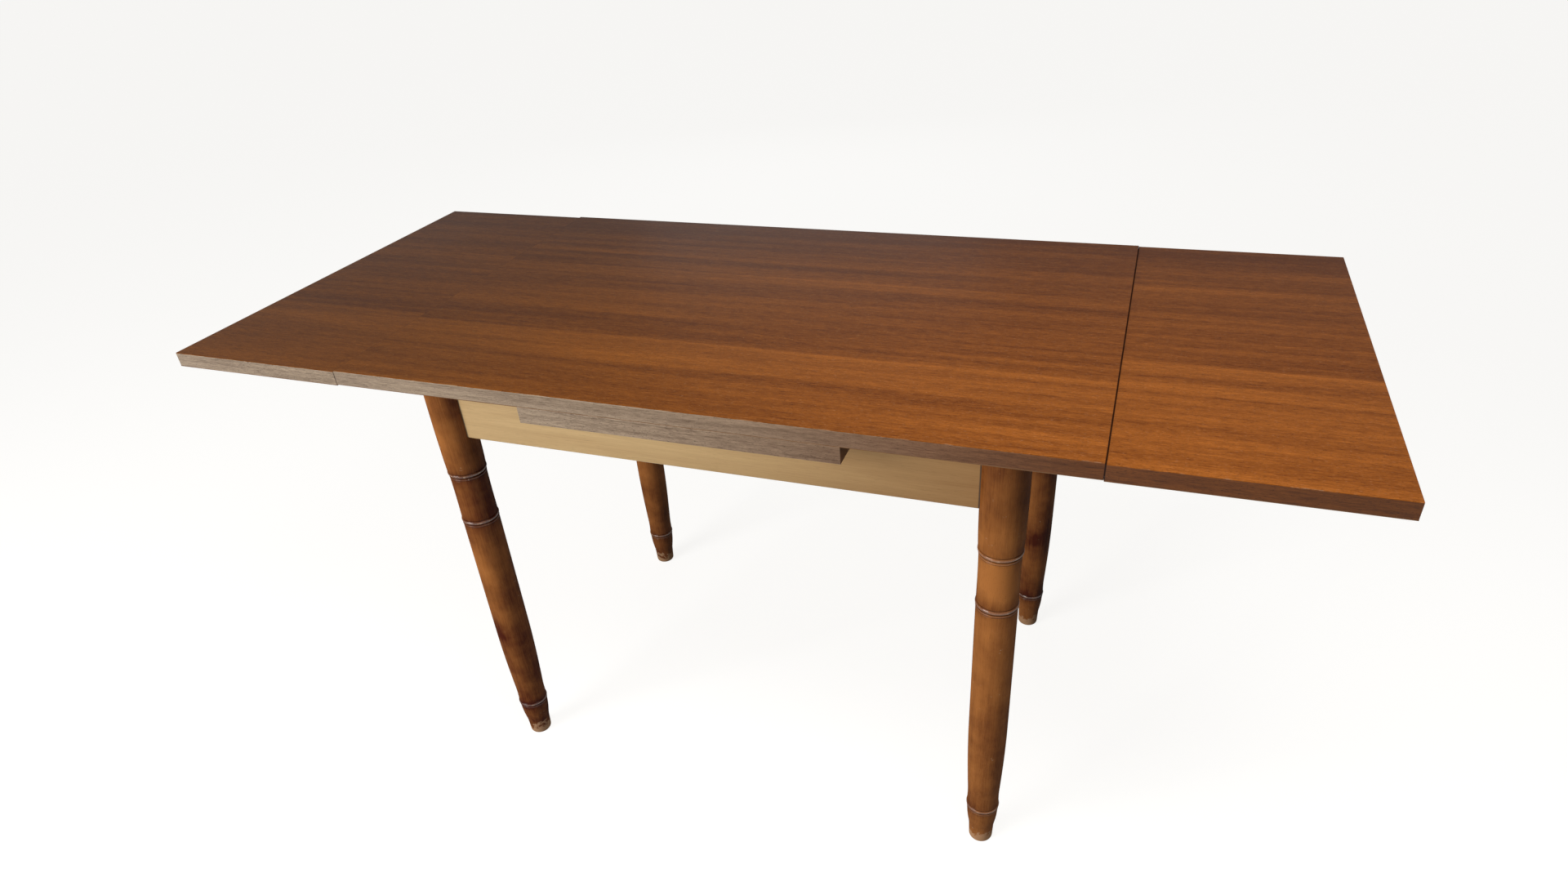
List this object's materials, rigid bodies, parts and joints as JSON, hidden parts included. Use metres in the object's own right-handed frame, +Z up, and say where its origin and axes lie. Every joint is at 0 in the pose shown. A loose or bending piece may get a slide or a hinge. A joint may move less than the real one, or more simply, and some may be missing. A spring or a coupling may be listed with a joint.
{
  "type": "extending dining table",
  "caption": "Rectangular wooden draw-leaf dining table on turned ringed legs, with both end leaves drawn out on sloped bearers level with a loose main top.",
  "frame": {"origin": "on the floor, under the middle of the main top", "axes": "+X along the table, from the left leaf to the right leaf; +Y to the back; +Z up"},
  "size_m": [1.6506, 0.7, 0.765],
  "materials": {
    "top_laminate": "satin wood-grain laminate",
    "top_edging": "satin wood-grain strip",
    "board_core": "raw chipboard",
    "apron_wood": "clear lacquered pale wood",
    "leg_wood": "stained and lacquered turned wood",
    "frame_wood": "plain hidden wood",
    "screw_steel": "zinc plated"
  },
  "bodies": {
    "frame": {"front_left_leg": "leg_wood", "front_right_leg": "leg_wood", "back_right_leg": "leg_wood", "back_left_leg": "leg_wood", "front_apron": "apron_wood", "back_apron": "apron_wood", "left_end_apron": "apron_wood", "right_end_apron": "apron_wood", "left_cross_rail": "frame_wood", "right_cross_rail": "frame_wood", "cross_rail_dowels": "frame_wood", "front_left_corner_block": "frame_wood", "front_right_corner_block": "frame_wood", "back_right_corner_block": "frame_wood", "back_left_corner_block": "frame_wood", "corner_block_screws": "screw_steel", "centre_board": "board_core", "centre_board_front_edging": "top_edging", "centre_board_back_edging": "top_edging", "centre_board_screws": "screw_steel"},
    "main_top": {"main_top_core": "board_core", "main_top_laminate": "top_laminate", "main_top_backing": "board_core", "main_top_front_edging": "top_edging", "main_top_back_edging": "top_edging", "main_top_left_edging": "top_edging", "main_top_right_edging": "top_edging", "front_guide_peg": "frame_wood", "back_guide_peg": "frame_wood", "front_guide_button": "frame_wood", "back_guide_button": "frame_wood", "guide_button_screws": "screw_steel"},
    "left_leaf": {"left_leaf_core": "board_core", "left_leaf_laminate": "top_laminate", "left_leaf_backing": "board_core", "left_leaf_front_edging": "top_edging", "left_leaf_back_edging": "top_edging", "left_leaf_left_edging": "top_edging", "left_leaf_right_edging": "top_edging", "left_front_bearer": "frame_wood", "left_back_bearer": "frame_wood", "left_stop_pegs": "frame_wood", "left_bearer_screws": "screw_steel"},
    "right_leaf": {"right_leaf_core": "board_core", "right_leaf_laminate": "top_laminate", "right_leaf_backing": "board_core", "right_leaf_front_edging": "top_edging", "right_leaf_back_edging": "top_edging", "right_leaf_left_edging": "top_edging", "right_leaf_right_edging": "top_edging", "right_front_bearer": "frame_wood", "right_back_bearer": "frame_wood", "right_stop_pegs": "frame_wood", "right_bearer_screws": "screw_steel"}
  },
  "joints": [
    {"name": "main_top_lift", "type": "slide", "parent": "frame", "child": "main_top", "axis": [0, 0, 1], "range_m": [0, 0.0298]},
    {"name": "left_leaf_slide", "type": "slide", "parent": "frame", "child": "left_leaf", "axis": [-0.9974, 0, 0.0715], "range_m": [0, 0.0118]},
    {"name": "right_leaf_slide", "type": "slide", "parent": "frame", "child": "right_leaf", "axis": [0.9974, 0, 0.0715], "range_m": [0, 0.0118]}
  ]
}
